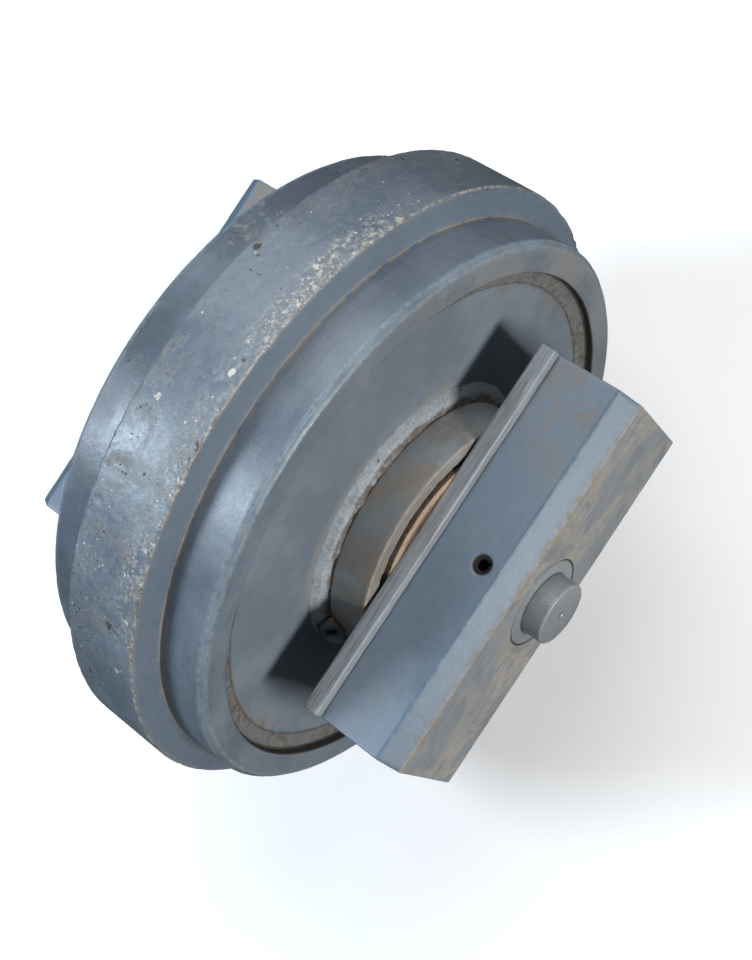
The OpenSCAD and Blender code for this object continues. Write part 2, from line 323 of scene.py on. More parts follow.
class Finish:
    """Writes one material's nodes as coats laid over each other.
    Sockets and plain numbers can be used alike as inputs."""

    def __init__(self, name, roughness, metallic=0.0):
        self.material = bpy.data.materials.new(name)
        self.material.use_nodes = True
        self.nodes = self.material.node_tree.nodes
        self.links = self.material.node_tree.links
        self.shader = self.nodes["Principled BSDF"]
        self.shader.inputs["Metallic"].default_value = metallic
        self.coords = self.nodes.new("ShaderNodeTexCoord").outputs["Object"]
        self.colour = (0.5, 0.5, 0.5)
        self.roughness = roughness

    def set(self, socket, value):
        if isinstance(value, bpy.types.NodeSocket):
            self.links.new(value, socket)
        elif isinstance(value, tuple) and len(value) == 3 and socket.type == "RGBA":
            socket.default_value = (*value, 1)
        else:
            socket.default_value = value

    def math(self, operation, a, b=0.0):
        node = self.nodes.new("ShaderNodeMath")
        node.operation = operation
        self.set(node.inputs[0], a)
        self.set(node.inputs[1], b)
        return node.outputs[0]

    def times(self, *values):
        total = values[0]
        for value in values[1:]:
            total = self.math("MULTIPLY", total, value)
        return total

    def plus(self, *values):
        total = values[0]
        for value in values[1:]:
            total = self.math("ADD", total, value)
        return total

    def most(self, a, b):
        return self.math("MAXIMUM", a, b)

    def rest(self, a):
        return self.math("SUBTRACT", 1.0, a)

    def ramp(self, value, low, high):
        """A smooth step of value, from 0 at low to 1 at high."""
        node = self.nodes.new("ShaderNodeMapRange")
        node.interpolation_type = "SMOOTHSTEP"
        for socket, number in zip(node.inputs, (value, low, high, 0.0, 1.0)):
            self.set(socket, number)
        return node.outputs["Result"]

    def mix(self, mask, a, b):
        node = self.nodes.new("ShaderNodeMix")
        node.data_type = "RGBA"
        for place, value in ((0, mask), (6, a), (7, b)):
            self.set(node.inputs[place], value)
        return node.outputs[2]

    def noise(self, size, detail=4.0, roughness=0.55, coords=None, warp=0.0):
        """Noise from 0 to 1 with lumps about size metres across."""
        node = self.nodes.new("ShaderNodeTexNoise")
        self.set(node.inputs["Vector"], coords or self.coords)
        self.set(node.inputs["Scale"], 1 / size)
        self.set(node.inputs["Detail"], detail)
        self.set(node.inputs["Roughness"], roughness)
        self.set(node.inputs["Distortion"], warp)
        return node.outputs["Fac"]

    def specks(self, size, share, least=0.12, spread=0.25):
        """Small spots in a share of the cells of a size; the share may vary over the surface."""
        node = self.nodes.new("ShaderNodeTexVoronoi")
        self.set(node.inputs["Vector"], self.coords)
        self.set(node.inputs["Scale"], 1 / size)
        split = self.nodes.new("ShaderNodeSeparateColor")
        self.set(split.inputs[0], node.outputs["Color"])
        chosen = self.math("LESS_THAN", split.outputs[0], share)
        reach = self.plus(self.times(split.outputs[1], spread), least)
        away = self.plus(node.outputs["Distance"], self.times(self.noise(0.4 * size, 3, 0.7), 0.7), -0.35)
        return self.times(chosen, self.math("LESS_THAN", away, reach))

    def stretched(self, x, y, z, turn=(0.0, 0.0, 0.0)):
        """The coordinates turned and then scaled along each axis."""
        node = self.nodes.new("ShaderNodeMapping")
        self.set(node.inputs["Vector"], self.coords)
        node.inputs["Rotation"].default_value = turn
        node.inputs["Scale"].default_value = (x, y, z)
        return node.outputs["Vector"]

    def turned(self, across=12.0):
        """Coordinates that change fast with radius and y, and slowly round the Y axis."""
        split = self.nodes.new("ShaderNodeSeparateXYZ")
        self.set(split.inputs[0], self.coords)
        x, y, z = split.outputs
        radius = self.math("SQRT", self.plus(self.times(x, x), self.times(z, z)))
        join = self.nodes.new("ShaderNodeCombineXYZ")
        self.set(join.inputs[0], self.plus(self.times(radius, across), x))
        self.set(join.inputs[1], self.times(y, across))
        self.set(join.inputs[2], z)
        return join.outputs[0]

    def mark(self, name):
        """One of the marks that weather() left on the piece's points."""
        node = self.nodes.new("ShaderNodeAttribute")
        node.attribute_name = name
        return node.outputs["Fac"]

    def base(self, dark, pale, coords, grain=0.012, streaks=0.4):
        """Paint or metal that varies broadly, in fine mottle and in streaks along coords."""
        broad = self.ramp(self.noise(0.11, 3), 0.35, 0.65)
        mottle = self.noise(grain, 6, 0.68)
        streak = self.noise(0.05, 5, 0.6, coords=coords)
        lined = self.plus(self.times(mottle, 0.8 - streaks), self.times(streak, streaks))
        self.tone = self.plus(self.times(broad, 0.3), lined)
        self.colour = self.mix(self.ramp(self.tone, 0.35, 0.8), dark, pale)
        self.roughness = self.plus(self.roughness - 0.05, self.times(self.ramp(self.tone, 0.3, 0.85), 0.1))

    def coat(self, mask, colour, roughness=None):
        """Lays a colour, and a roughness if one is given, over what is there."""
        self.colour = self.mix(mask, self.colour, colour)
        if roughness is not None:
            change = self.math("SUBTRACT", roughness, self.roughness)
            self.roughness = self.plus(self.roughness, self.times(change, mask))

    def dust(self, amount, colour, size=0.045):
        cloud = self.ramp(self.noise(size, 8, 0.7, warp=0.6), 0.46, 0.72)
        grain = self.ramp(self.noise(0.0018, 3, 0.7), 0.3, 0.62)
        self.coat(self.times(cloud, grain, amount), colour, 0.85)

    def edges(self, colour, amount=1.0, size=0.006, low=0.34, high=0.6):
        """Worn edges, broken up by noise."""
        broken = self.ramp(self.noise(size, 6, 0.7), low, high)
        self.coat(self.times(self.ramp(self.mark("wear"), 0.25, 0.7), broken, amount), colour)

    def corners(self, colour, amount=1.0, low=0.3, high=0.6):
        """Colour in hollow corners: real dirt and rust lines in some materials, painted shade in holes, gaps and
        grooves in others.
        """
        broken = self.ramp(self.noise(0.009, 6, 0.7), low, high)
        self.coat(self.times(self.ramp(self.mark("grime_and_shade"), 0.2, 0.85), broken, amount), colour, 0.9)

    def blotches(self, share, size):
        """Ragged patches over about a share of the surface; the share may vary over it."""
        level = self.math("SUBTRACT", 0.74, self.times(self.math("SQRT", share), 0.38))
        ragged = self.ramp(self.noise(size, 6, 0.72, warp=0.7), level, self.plus(level, 0.035))
        return self.times(ragged, self.ramp(share, 0.0, 0.01))

    def rust(self, share, size=0.006):
        spots = self.most(self.blotches(share, size), self.blotches(share, 0.4 * size))
        tint = self.mix(self.ramp(self.noise(0.003, 3), 0.35, 0.65), RUST, RUST_BRIGHT)
        self.coat(self.times(spots, 0.8), tint, 0.9)
        self.bump(spots, 0.2 * MM, 0.7)

    def pits(self, share, size=0.0055, amount=0.75):
        spots = self.specks(size, share)
        self.coat(self.times(spots, amount), DIRT_AND_SHADE, 0.9)
        self.bump(self.times(spots, -1.0), 0.5 * MM)

    def grit(self, share, colour):
        """Pale stones and powder pressed into the surface."""
        fine = self.specks(0.0030, self.times(share, 0.95), least=0.02, spread=0.4)
        coarse = self.specks(0.0085, self.times(share, 0.42), least=0.1, spread=0.35)
        powder = self.times(self.ramp(self.noise(0.0045, 5, 0.8), 0.44, 0.58), share, 0.95)
        spots = self.most(self.most(fine, coarse), powder)
        self.coat(spots, colour, 0.9)
        self.bump(spots, 0.4 * MM, 0.8)

    def bump(self, height, distance, strength=1.0):
        node = self.nodes.new("ShaderNodeBump")
        self.set(node.inputs["Height"], height)
        self.set(node.inputs["Distance"], distance)
        self.set(node.inputs["Strength"], strength)
        before = self.shader.inputs["Normal"]
        if before.is_linked:
            self.set(node.inputs["Normal"], before.links[0].from_socket)
        self.set(before, node.outputs["Normal"])

    def grain(self, fine=0.12 * MM, coarse=0.35 * MM):
        self.bump(self.noise(0.0022, 3, 0.6), fine)
        self.bump(self.noise(0.014, 4, 0.55), coarse)

    def done(self):
        self.set(self.shader.inputs["Base Color"], self.colour)
        self.set(self.shader.inputs["Roughness"], self.roughness)
        return self.material


# Colours, linear
SLATE = (0.131, 0.165, 0.205)
SLATE_PALE = (0.194, 0.234, 0.282)
SLATE_WORN = (0.34, 0.44, 0.52)
DUST = (0.32, 0.31, 0.29)
GRIT = (0.70, 0.66, 0.60)
TAN = (0.30, 0.205, 0.13)
TAN_PALE = (0.37, 0.305, 0.24)
RUST = (0.19, 0.105, 0.055)
RUST_BRIGHT = (0.36, 0.205, 0.10)
# Dark brown: real dirt in pits and stains, painted shade in the bracket's holes and the shaft's gap and centre
# hole
DIRT_AND_SHADE = (0.06, 0.048, 0.038)


def rim_steel():
    """Slate paint on the treads, worn smooth round the wheel."""
    f = Finish("rim_paint", 0.29)
    f.base(SLATE, SLATE_PALE, f.turned())
    dull = f.ramp(f.noise(0.07, 3, 0.5), 0.46, 0.62)
    f.roughness = f.plus(f.roughness, f.times(dull, 0.12))
    f.dust(0.3, DUST)
    scratches = f.noise(0.018, 4, 0.75, coords=f.turned(30.0))
    f.coat(f.times(f.ramp(scratches, 0.62, 0.75), 0.25), SLATE_WORN)
    f.coat(f.times(f.ramp(f.noise(0.03, 6, 0.7), 0.56, 0.74), 0.25), (0.14, 0.12, 0.10), 0.6)
    # The film mark is painted shade: it darkens the far tread next to the flange
    f.coat(f.times(f.mark("film"), f.ramp(f.noise(0.05, 5, 0.6), 0.3, 0.6), 0.55), (0.085, 0.10, 0.118))
    # Paler blue over the rim's bevel facet: partly worn paint, partly a painted highlight on that facet
    f.coat(f.times(f.mark("bevel"), f.ramp(f.noise(0.03, 6, 0.65), 0.3, 0.6), 0.7), (0.25, 0.325, 0.375), 0.4)
    f.edges(SLATE_WORN, 0.35, low=0.35, high=0.6)
    f.corners(TAN_PALE, 1.0, 0.38, 0.52)
    f.coat(f.times(f.blotches(f.times(f.mark("splash"), 0.3), 0.009), 0.6), (0.34, 0.31, 0.27), 0.85)
    # Darkens the rim's bore wall almost to black: painted shade in the deep groove
    f.coat(f.mark("bore"), (0.035, 0.030, 0.026), 0.85)
    f.coat(f.times(f.mark("face"), f.ramp(f.noise(0.04, 7, 0.65), 0.3, 0.6), 0.6), (0.285, 0.275, 0.26), 0.6)
    f.rust(f.plus(f.times(f.ramp(f.noise(0.07, 4), 0.52, 0.72), 0.04), f.times(f.mark("rusty"), 0.13)))
    f.pits(f.times(f.ramp(f.noise(0.03, 4), 0.52, 0.7), 0.05))
    f.bump(scratches, 0.1 * MM)
    f.grain()
    return f.done()


def flange_steel():
    """Scuffed paint with stones pressed in towards one edge and dark flakes towards the other."""
    f = Finish("flange_paint", 0.34)
    f.base((0.130, 0.166, 0.208), (0.206, 0.250, 0.296), f.turned(5.0), grain=0.008, streaks=0.25)
    f.dust(0.45, DUST)
    stain = f.mark("stain")
    cloud = f.ramp(f.noise(0.03, 7, 0.7, warp=1.2), 0.45, 0.66)
    brown = f.mix(f.ramp(f.noise(0.005, 6, 0.75), 0.4, 0.6), (0.125, 0.108, 0.092), (0.27, 0.245, 0.215))
    f.coat(f.times(stain, cloud, 0.6), brown, 0.75)
    speckle = f.ramp(f.noise(0.0035, 4, 0.75), 0.54, 0.66)
    f.coat(f.times(speckle, f.mark("top"), 0.28), (0.40, 0.40, 0.39), 0.8)
    scrape = f.ramp(f.noise(0.02, 6, 0.75, coords=f.turned(4.0), warp=0.4), 0.56, 0.68)
    f.coat(f.times(scrape, f.mark("top"), 0.25), (0.42, 0.43, 0.43), 0.7)
    patch = f.ramp(f.noise(0.022, 6, 0.7), 0.36, 0.52)
    f.grit(f.times(f.mark("grit"), patch), f.mix(f.ramp(f.noise(0.004, 3), 0.4, 0.7), GRIT, DUST))
    f.coat(f.times(f.ramp(f.mark("chip"), 0.40, 0.55), 0.95), (0.74, 0.72, 0.68), 0.8)
    f.edges((0.50, 0.45, 0.39), 0.9, size=0.009, low=0.44, high=0.56)
    f.edges((0.17, 0.11, 0.07), 0.8, size=0.014, low=0.52, high=0.60)
    f.corners(TAN_PALE, 1.0, 0.38, 0.52)
    f.coat(f.times(f.mark("side"), 0.8), f.mix(f.noise(0.01, 5), (0.105, 0.150, 0.198), (0.17, 0.218, 0.275)), 0.5)
    f.rust(f.times(f.ramp(f.noise(0.06, 4), 0.48, 0.7), 0.05))
    f.pits(f.plus(f.times(stain, cloud, 0.30), 0.008), size=0.010, amount=0.85)
    f.pits(f.plus(f.times(stain, cloud, 0.34), 0.01), size=0.004, amount=0.75)
    f.grain(0.16 * MM, 0.5 * MM)
    return f.done()


def web_steel():
    """Flat paint with a light film of dust."""
    f = Finish("web_paint", 0.5)
    f.base((0.154, 0.194, 0.236), (0.213, 0.260, 0.310), f.coords)
    f.dust(0.3, (0.26, 0.25, 0.235))
    f.coat(f.times(f.ramp(f.noise(0.05, 5), 0.5, 0.7), 0.35), (0.13, 0.135, 0.135), 0.7)
    f.coat(f.times(f.mark("rusty"), f.ramp(f.noise(0.02, 6, 0.7), 0.45, 0.62), 0.5), (0.20, 0.155, 0.11), 0.8)
    f.corners((0.085, 0.072, 0.060), 0.8)
    f.coat(f.times(f.mark("fringe"), f.ramp(f.noise(0.02, 6, 0.7), 0.35, 0.6), 0.6), (0.265, 0.285, 0.30), 0.75)
    broken = f.ramp(f.noise(0.016, 7, 0.75), 0.40, 0.58)
    f.coat(f.times(f.ramp(f.mark("tide"), 0.15, 0.8), broken, 0.7), (0.25, 0.21, 0.165), 0.85)
    f.rust(f.plus(0.003, f.times(f.mark("rusty"), 0.16)), size=0.006)
    f.grain()
    return f.done()


def hub_steel():
    """Paint under a greasy brown film."""
    f = Finish("hub_paint", 0.46)
    f.base((0.24, 0.27, 0.295), (0.36, 0.395, 0.42), f.turned())
    film = f.ramp(f.noise(0.035, 8, 0.7, warp=0.4), 0.38, 0.66)
    f.coat(f.times(film, 0.7), (0.25, 0.205, 0.155), 0.7)
    f.coat(f.times(f.ramp(f.noise(0.022, 8, 0.75), 0.50, 0.68), 0.65), (0.38, 0.255, 0.16), 0.85)
    f.dust(0.35, DUST, size=0.03)
    ring = f.ramp(f.noise(0.012, 6, 0.7, coords=f.turned(3.0)), 0.35, 0.6)
    f.coat(f.times(f.mark("ring"), ring, 0.75), (0.225, 0.185, 0.155), 0.75)
    f.edges((0.42, 0.36, 0.30), 0.8)
    # Near black in the hub's mouth and along the weld toe: painted shade
    f.corners((0.045, 0.036, 0.028), 0.95, 0.2, 0.45)
    f.rust(0.05)
    f.grain(0.2 * MM, 0.5 * MM)
    return f.done()


def weld_steel():
    """Thin silvery paint over a bead, brown in its hollows."""
    f = Finish("weld_paint", 0.5)
    fine = f.noise(0.0035, 5, 0.75)
    f.colour = f.mix(f.ramp(fine, 0.3, 0.7), (0.275, 0.31, 0.34), (0.43, 0.48, 0.525))
    patch = f.ramp(f.noise(0.018, 6, 0.7), 0.54, 0.68)
    f.coat(f.times(patch, 0.5), (0.26, 0.225, 0.18), 0.8)
    f.corners((0.13, 0.095, 0.065), 0.9, 0.3, 0.55)
    f.pits(0.05, size=0.004)
    f.bump(f.noise(0.0018, 4, 0.7), 0.25 * MM)
    f.bump(f.noise(0.007, 3, 0.6), 0.7 * MM)
    return f.done()


def corroded_weld():
    """Weld in the rim's groove, brown with scale and dust."""
    f = Finish("corroded_weld", 0.85)
    scale = f.noise(0.006, 6, 0.72, warp=0.5)
    f.colour = f.mix(f.ramp(scale, 0.35, 0.65), (0.090, 0.088, 0.084), (0.215, 0.207, 0.192))
    f.coat(f.times(f.ramp(f.noise(0.06, 4), 0.45, 0.65), 0.6), (0.17, 0.18, 0.19), 0.7)
    f.coat(f.times(f.blotches(0.08, 0.006), 0.5), RUST)
    # Near black towards the rim's bore: painted shade in the groove
    f.coat(f.times(f.ramp(f.mark("grime_and_shade"), 0.3, 0.9), 0.9), (0.030, 0.026, 0.022))
    f.bump(scale, 0.9 * MM)
    f.bump(f.noise(0.0018, 3, 0.6), 0.3 * MM)
    return f.done()


def bracket_steel():
    """Painted casting, paler on its bevels as painted light on the chamfer, dusty outside and rust-spotted near
    one end.
    """
    f = Finish("bracket_paint", 0.4)
    f.base((0.140, 0.186, 0.240), (0.200, 0.258, 0.322), f.stretched(2, 8, 8), grain=0.010, streaks=0.2)
    f.coat(f.times(f.mark("faded"), 0.6), f.mix(f.noise(0.009, 6, 0.7), (0.19, 0.26, 0.335), (0.25, 0.335, 0.425)))
    f.coat(f.times(f.ramp(f.noise(0.05, 8, 0.7), 0.5, 0.72), 0.25), DUST, 0.7)
    film = f.ramp(f.noise(0.05, 6, 0.6), 0.35, 0.6)
    f.coat(f.times(f.mark("rusty"), film, 0.85), (0.265, 0.24, 0.21), 0.6)
    # The bevel tint is painted light: the chamfer's lit look put into its colour
    tint = f.mix(f.noise(0.02, 6, 0.65), (0.090, 0.147, 0.207), (0.125, 0.19, 0.26))
    f.coat(f.times(f.mark("bevel"), 0.9), tint, 0.45)
    dusty = f.mark("dusty")
    f.coat(f.times(dusty, 0.8), (0.27, 0.29, 0.315), 0.6)
    cloud = f.ramp(f.noise(0.07, 8, 0.66, warp=1.2), 0.44, 0.60)
    f.coat(f.times(dusty, cloud, 0.6), (0.335, 0.315, 0.28), 0.85)
    smear = f.noise(0.06, 7, 0.62, warp=1.4)
    f.coat(f.times(dusty, f.ramp(smear, 0.50, 0.60), 0.6), (0.195, 0.215, 0.235), 0.6)
    veins = f.noise(0.13, 6, 0.6, warp=0.9)
    vein = f.times(f.ramp(veins, 0.47, 0.52), f.rest(f.ramp(veins, 0.54, 0.60)))
    f.coat(f.times(dusty, vein, f.ramp(f.noise(0.006, 5, 0.75), 0.35, 0.6), 0.7), (0.40, 0.37, 0.315), 0.85)
    f.coat(f.times(dusty, f.ramp(f.noise(0.014, 7, 0.75), 0.56, 0.68), 0.5), (0.33, 0.27, 0.19), 0.9)
    f.edges(SLATE_WORN, 0.2, size=0.012, low=0.45, high=0.62)
    f.coat(f.times(f.mark("seam"), f.ramp(f.noise(0.008, 5, 0.7), 0.42, 0.58), 0.8), (0.30, 0.215, 0.13), 0.8)
    rusty = f.times(f.mark("rusty"), f.ramp(f.noise(0.04, 4), 0.42, 0.58))
    spots = f.times(rusty, f.most(f.specks(0.011, 0.22, least=0.08), f.specks(0.005, 0.2)))
    f.coat(f.times(spots, 0.75), f.mix(f.noise(0.006, 3), (0.27, 0.185, 0.115), (0.40, 0.265, 0.15)), 0.85)
    f.rust(f.plus(f.times(rusty, 0.05), 0.002), size=0.008)
    # Holes go dark: painted shade on the walls of the shaft bore and pin hole
    f.corners(DIRT_AND_SHADE, 1.0, 0.1, 0.3)
    f.grain()
    return f.done()


def guide_steel():
    """Plate with a flame-cut edge: thin paint over lengthwise cut lines."""
    f = Finish("guide_paint", 0.5)
    lines = f.noise(0.055, 7, 0.75, coords=f.stretched(1, 28, 28))
    f.colour = f.mix(f.ramp(lines, 0.36, 0.64), (0.225, 0.255, 0.288), (0.375, 0.42, 0.465))
    brown = f.times(f.ramp(f.noise(0.05, 7, 0.7, coords=f.stretched(1, 9, 9)), 0.5, 0.62), 0.6)
    f.coat(brown, (0.235, 0.20, 0.165), 0.7)
    f.dust(0.4, (0.30, 0.29, 0.275), size=0.03)
    # Pale edge line: partly wear, partly a painted highlight, strongest on the outer edges
    f.edges((0.40, 0.47, 0.53), 0.75, size=0.015, low=0.38, high=0.56)
    f.rust(f.times(f.mark("rusty"), 0.10), size=0.008)
    f.bump(lines, 0.45 * MM)
    f.grain(0.2 * MM, 0.3 * MM)
    return f.done()


def rusted_steel():
    """Machined housing with most of its paint gone."""
    f = Finish("housing_paint", 0.65)
    patch = f.ramp(f.noise(0.010, 7, 0.7), 0.38, 0.62)
    lines = f.noise(0.02, 5, 0.7, coords=f.turned(45.0))
    f.colour = f.mix(patch, (0.105, 0.076, 0.056), (0.27, 0.205, 0.155))
    f.coat(f.times(f.ramp(lines, 0.48, 0.56), 0.75), (0.07, 0.055, 0.045))
    f.coat(f.times(f.ramp(f.noise(0.03, 5), 0.52, 0.68), 0.8), (0.17, 0.17, 0.17))
    f.rust(0.25, size=0.004)
    f.corners(DIRT_AND_SHADE)
    f.edges((0.58, 0.43, 0.29), 0.9, low=0.25, high=0.5)
    f.bump(lines, 0.3 * MM)
    f.bump(f.noise(0.003, 5, 0.7), 0.3 * MM)
    return f.done()


def shaft_steel():
    """Turned steel under thin grey paint, with light rust."""
    f = Finish("shaft_steel", 0.24)
    f.base((0.23, 0.26, 0.285), (0.33, 0.36, 0.39), f.turned(20.0), grain=0.008)
    f.dust(0.5, DUST, size=0.02)
    f.edges((0.42, 0.46, 0.49), 0.6)
    f.rust(f.times(f.ramp(f.noise(0.02, 4), 0.48, 0.65), 0.12))
    # Painted shade in the gap round the shaft and in its centre hole
    f.corners(DIRT_AND_SHADE, 1.0, 0.1, 0.3)
    f.bump(f.noise(0.02, 4, 0.7, coords=f.turned(30.0)), 0.12 * MM)
    f.grain(0.06 * MM, 0.1 * MM)
    return f.done()


def pin_steel():
    """Spring steel, dull where it was painted over, and painted dark in the bore as shade."""
    f = Finish("pin_steel", 0.45)
    f.base((0.14, 0.14, 0.14), (0.28, 0.28, 0.27), f.coords, grain=0.004)
    f.rust(0.12, size=0.003)
    f.edges((0.40, 0.39, 0.37), 0.7, size=0.003)
    # Near black in the bore: painted shade
    f.corners((0.02, 0.018, 0.016), 1.0, 0.0, 0.1)
    f.grain(0.08 * MM, 0.1 * MM)
    return f.done()


def plug_steel():
    """Plug painted over with the wheel."""
    f = Finish("plug_paint", 0.5)
    f.base((0.10, 0.115, 0.125), (0.16, 0.18, 0.19), f.coords, grain=0.006)
    f.dust(0.5, (0.16, 0.13, 0.10), size=0.015)
    f.rust(0.08, size=0.003)
    f.grain()
    return f.done()


def bare_metal(name, dark, pale, gloss):
    """Machined bare metal with turning lines and stains."""
    f = Finish(name, gloss, metallic=1.0)
    lines = f.noise(0.02, 5, 0.7, coords=f.turned(25.0))
    f.colour = f.mix(lines, dark, pale)
    f.coat(f.times(f.ramp(f.noise(0.012, 6, 0.65), 0.42, 0.65), 0.4), DIRT_AND_SHADE, 0.6)
    f.bump(lines, 0.08 * MM)
    return f.done()


def rubber():
    """Smooth oil-wet rubber."""
    f = Finish("seal_rubber", 0.3)
    film = f.noise(0.01, 5, 0.6)
    f.colour = f.mix(film, (0.012, 0.012, 0.012), (0.035, 0.034, 0.033))
    f.coat(f.ramp(film, 0.5, 0.7), (0.05, 0.046, 0.042), 0.6)
    f.bump(f.noise(0.001, 2, 0.5), 0.04 * MM)
    return f.done()


# ---------------------------------------------------------------- the wheel

def tread_rim(material):
    corners = both_sides([
        (RIM_IN_R, WEB_IN_Y, 0, 2.5 * MM),
        (RIM_IN_R, RIM_Y, 1.6 * MM, 2.2 * MM),
        (TREAD_R - RIM_EDGE, RIM_Y, 1.3 * MM, 1.0 * MM),
        (TREAD_R, RIM_Y - RIM_EDGE, 1.6 * MM, 2.4 * MM),
        (TREAD_R, FLANGE_Y - 1 * MM, 0, HIDDEN_STEP),
    ])
    piece = lathe("rim_treads", corners, 720, material)
    points, _ = surface(piece)
    marks = edge_marks(points, corners)
    radius, angle = polar(points)
    marks["wear"] *= radius > TREAD_R - 10 * MM
    at_root = np.exp(-abs(abs(points[:, 1]) - FLANGE_Y) / (2.0 * MM))
    marks["grime_and_shade"] = np.maximum(marks["grime_and_shade"] * 0.2, at_root * (radius > TREAD_R - 2 * MM))
    # bore marks the rim's bore wall, which rim_paint darkens almost to black as painted shade
    marks["bore"] = ramp(RIM_IN_R + 1.5 * MM - radius, 0, 1.2 * MM)
    # bevel marks the rim's bevel facet, painted paler: partly wear, partly painted highlight
    past_face = ramp(radius, TREAD_R - RIM_EDGE + 0.3 * MM, TREAD_R - RIM_EDGE + 1.0 * MM)
    marks["bevel"] = past_face * ramp(abs(points[:, 1]), RIM_Y - RIM_EDGE + 0.3 * MM, RIM_Y - RIM_EDGE + 1.0 * MM)
    low_side = 0.5 + 0.5 * np.cos(np.radians(angle - 10))
    marks["face"] = ramp(abs(points[:, 1]), RIM_Y - 1.5 * MM, RIM_Y - 0.5 * MM) * low_side ** 3
    # film marks the far tread next to the flange, which rim_paint darkens as painted shade
    marks["film"] = ramp(points[:, 1], FLANGE_Y, FLANGE_Y + 12 * MM) * (radius > TREAD_R - 4 * MM)
    marks["splash"] = ramp(points[:, 1], 46 * MM, 62 * MM) * np.exp(-((angle - 62) / 9) ** 2)
    marks["rusty"] = ramp(noise(points, 120 * MM, 5), 0.1, 0.6) * ramp(abs(points[:, 1]), 82 * MM, 87 * MM)
    middle = (RIM_Y + FLANGE_Y) / 2
    crown = ((abs(points[:, 1]) - middle) / (RIM_Y - middle)) ** 2
    height = 0.12 * MM * rough(points, 60 * MM, 3) - 0.35 * MM * crown * (radius > TREAD_R - 2 * MM)
    height -= 0.5 * MM * ramp(rough(points, 16 * MM, 7), 0.55, 0.9)
    height += nicks(points, marks, 0.35 * MM, 12 * MM, 11)
    weather(piece, height, marks)
    return place(piece, "wheel", "rim_paint", "tread_rim")


def centre_flange(material):
    corners = both_sides([
        (TREAD_R - 0.5 * MM, FLANGE_Y, 0, 1.8 * MM),
        (FLANGE_R, FLANGE_TOP_Y, 2.6 * MM, 2.0 * MM),
    ], closing_step=HIDDEN_STEP)
    piece = lathe("rim_flange", corners, 760, material)
    points, _ = surface(piece)
    marks = edge_marks(points, corners, wear=1.8 * MM)
    radius, angle = polar(points)
    marks["wear"] *= (radius > FLANGE_R - 10 * MM) * np.where(points[:, 1] > 0, 0.55, 1.0)
    marks["side"] = ramp(FLANGE_R - radius, 2.5 * MM, 5 * MM) * ramp(radius, TREAD_R + 2 * MM, TREAD_R + 5 * MM)
    y = points[:, 1]
    top = ramp(radius, FLANGE_R - 3 * MM, FLANGE_R - 0.5 * MM)
    near_edge = ramp(-y, 7 * MM, 27 * MM)
    far_edge = ramp(y, 4 * MM, 28 * MM)
    patches = ramp(noise(points, 150 * MM, 21), -0.1, 0.4)
    heavy = np.exp(-abs((angle - 67) / 16) ** 3)
    spread = np.exp(-((angle - 126) / 18) ** 2)
    marks["top"] = top
    marks["grit"] = top * np.clip(near_edge * np.maximum(heavy, 0.35 * patches) + 0.09 * spread + 0.025, 0, 1)
    marks["stain"] = top * np.clip(far_edge * 0.9 + 0.8 * spread + 0.25 * patches, 0, 1)
    chip = np.hypot(np.radians(angle - CHIP[0]) * FLANGE_R, y - CHIP[1])
    marks["chip"] = top * np.exp(-(chip / (6 * MM)) ** 2) * (1 + 1.3 * rough(points, 6 * MM, 27))
    marks["grime_and_shade"] = np.exp(-abs(radius - TREAD_R) / (1.6 * MM))
    height = 0.15 * MM * rough(points, 45 * MM, 23)
    height += 0.4 * MM * rough(points, 6 * MM, 29) * marks["grit"]
    height -= 0.7 * MM * ramp(rough(points, 13 * MM, 31), 0.45, 0.8) * top
    height += nicks(points, marks, 2.0 * MM, 9 * MM, 37)
    weather(piece, height, marks)
    return place(piece, "wheel", "flange_paint", "centre_flange")


def web_disc(side, material, cutters):
    corners = [
        (HUB_R + 0.2 * MM, side * WEB_IN_Y, 0, HIDDEN_STEP),
        (RIM_IN_R - 0.2 * MM, side * WEB_IN_Y, 0, HIDDEN_STEP),
        (RIM_IN_R - 0.2 * MM, side * RIM_WELD_Y, 0, 3 * MM),
        (RIM_IN_R - RIM_WELD, side * WEB_Y, 0, 3.2 * MM),
        (HUB_R + 0.2 * MM, side * WEB_Y, 0, HIDDEN_STEP),
    ]
    piece = lathe(f"{SIDES[side]}_web", corners, 560, material)
    if cutters:
        cut(piece, cutters)
    points, _ = surface(piece)
    radius, angle = polar(points)
    marks = edge_marks(points, corners)
    marks["grime_and_shade"] = np.exp(-abs(radius - RIM_IN_R + RIM_WELD) / (2.2 * MM))
    tide = radius - HUB_R - 1.3 * HUB_WELD - 2 * MM * rough(points, 40 * MM, 47)
    marks["fringe"] = ramp(-tide, -1 * MM, 2 * MM)
    marks["tide"] = np.exp(-abs(tide) / (2.2 * MM))
    marks["rusty"] = ramp(radius, 205 * MM, 228 * MM) * ramp(noise(points, 110 * MM, 45), 0.0, 0.5)
    height = 0.25 * MM * rough(points, 70 * MM, 41) + 0.10 * MM * rough(points, 12 * MM, 43)
    weather(piece, height, marks)
    return place(piece, "wheel", "web_paint", f"{SIDES[side]}_web_disc")


